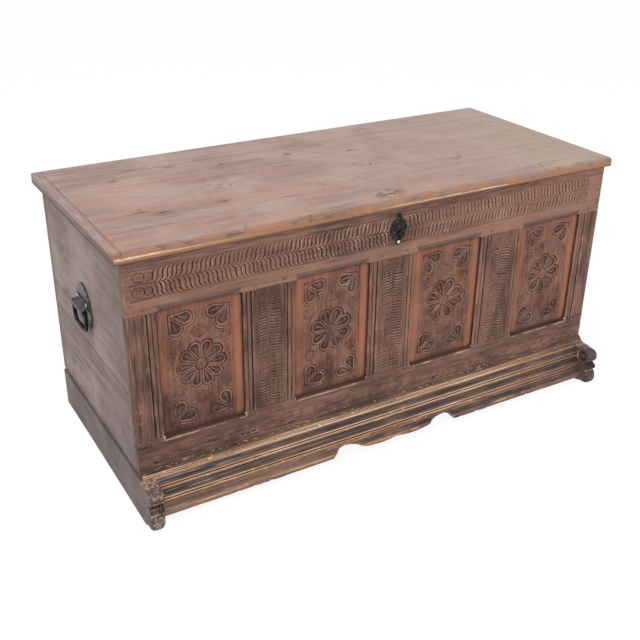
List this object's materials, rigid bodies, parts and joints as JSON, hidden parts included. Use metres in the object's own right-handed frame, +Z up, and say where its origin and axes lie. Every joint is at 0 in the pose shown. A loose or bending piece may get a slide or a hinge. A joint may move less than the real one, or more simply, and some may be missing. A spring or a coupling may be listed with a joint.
{
  "type": "panelled storage chest (cassone)",
  "caption": "Long low wooden chest with a panelled, carved front, a moulded plinth on scroll-cut sledge feet, a hinged lid, an iron lock and iron drop handles on both ends.",
  "frame": {"origin": "on the floor, under the middle of the whole chest's outline", "axes": "+X to the chest's right as one faces its carved front, -Y out of that front, +Z up"},
  "size_m": [1.443, 0.7004, 0.684],
  "materials": {
    "plinth_wood": "dark waxed, worn to pale wood on the edges",
    "frame_wood": "dark waxed, carved",
    "panel_wood": "reddish waxed, carved",
    "board_wood": "matt, dusty brown",
    "lid_wood": "waxed, satin",
    "peg_wood": "matt",
    "forged_iron": "blackened, hand forged"
  },
  "bodies": {
    "case": {"runner_left": "plinth_wood", "runner_right": "plinth_wood", "plinth_board": "plinth_wood", "plinth_lower_moulding": "plinth_wood", "plinth_middle_moulding": "plinth_wood", "plinth_reed_moulding": "plinth_wood", "front_top_rail": "frame_wood", "front_bottom_rail": "frame_wood", "front_stile_left": "frame_wood", "front_stile_right": "frame_wood", "front_muntin_1": "frame_wood", "front_muntin_2": "frame_wood", "front_muntin_3": "frame_wood", "front_panel_1": "panel_wood", "front_panel_2": "panel_wood", "front_panel_3": "panel_wood", "front_panel_4": "panel_wood", "side_board_left_lower": "board_wood", "side_board_left_upper": "board_wood", "side_board_right_lower": "board_wood", "side_board_right_upper": "board_wood", "back_board_lower": "board_wood", "back_board_upper": "board_wood", "floor_board_1": "board_wood", "floor_board_2": "board_wood", "floor_board_3": "board_wood", "frame_pegs": "peg_wood", "plinth_nails": "forged_iron", "back_nails": "forged_iron", "hinge_leaf_left": "forged_iron", "hinge_leaf_right": "forged_iron", "hinge_leaf_nails": "forged_iron", "hinge_pin_left": "forged_iron", "hinge_pin_right": "forged_iron", "handle_plate_left": "forged_iron", "handle_plate_right": "forged_iron", "handle_strap_left": "forged_iron", "handle_strap_right": "forged_iron", "handle_rivets_left": "forged_iron", "handle_rivets_right": "forged_iron", "escutcheon": "forged_iron", "escutcheon_nails": "forged_iron", "lock_plate": "forged_iron", "lock_plate_nails": "forged_iron", "lock_cover": "forged_iron"},
    "lid": {"lid_front_board": "lid_wood", "lid_back_board": "lid_wood", "lid_end_moulding_left": "lid_wood", "lid_strap_left": "forged_iron", "lid_strap_right": "forged_iron", "lid_strap_nails": "forged_iron", "lock_staple": "forged_iron", "lock_staple_nails": "forged_iron"},
    "bail_left": {"handle_bail_left": "forged_iron"},
    "bail_right": {"handle_bail_right": "forged_iron"},
    "bolt": {"lock_bolt": "forged_iron"}
  },
  "joints": [
    {"name": "lid_hinge", "type": "hinge", "parent": "case", "child": "lid", "pos_m": [0, 0.343, 0.651], "axis": [-1, 0, 0], "range_deg": [0, 100]},
    {"name": "bail_left_swing", "type": "hinge", "parent": "case", "child": "bail_left", "pos_m": [-0.714, 0.048, 0.426], "axis": [0, 1, 0], "range_deg": [-4, 180]},
    {"name": "bail_right_swing", "type": "hinge", "parent": "case", "child": "bail_right", "pos_m": [0.714, 0.048, 0.426], "axis": [0, -1, 0], "range_deg": [-4, 180]},
    {"name": "bolt_slide", "type": "slide", "parent": "case", "child": "bolt", "axis": [1, 0, 0], "range_m": [0, 0.016]}
  ]
}
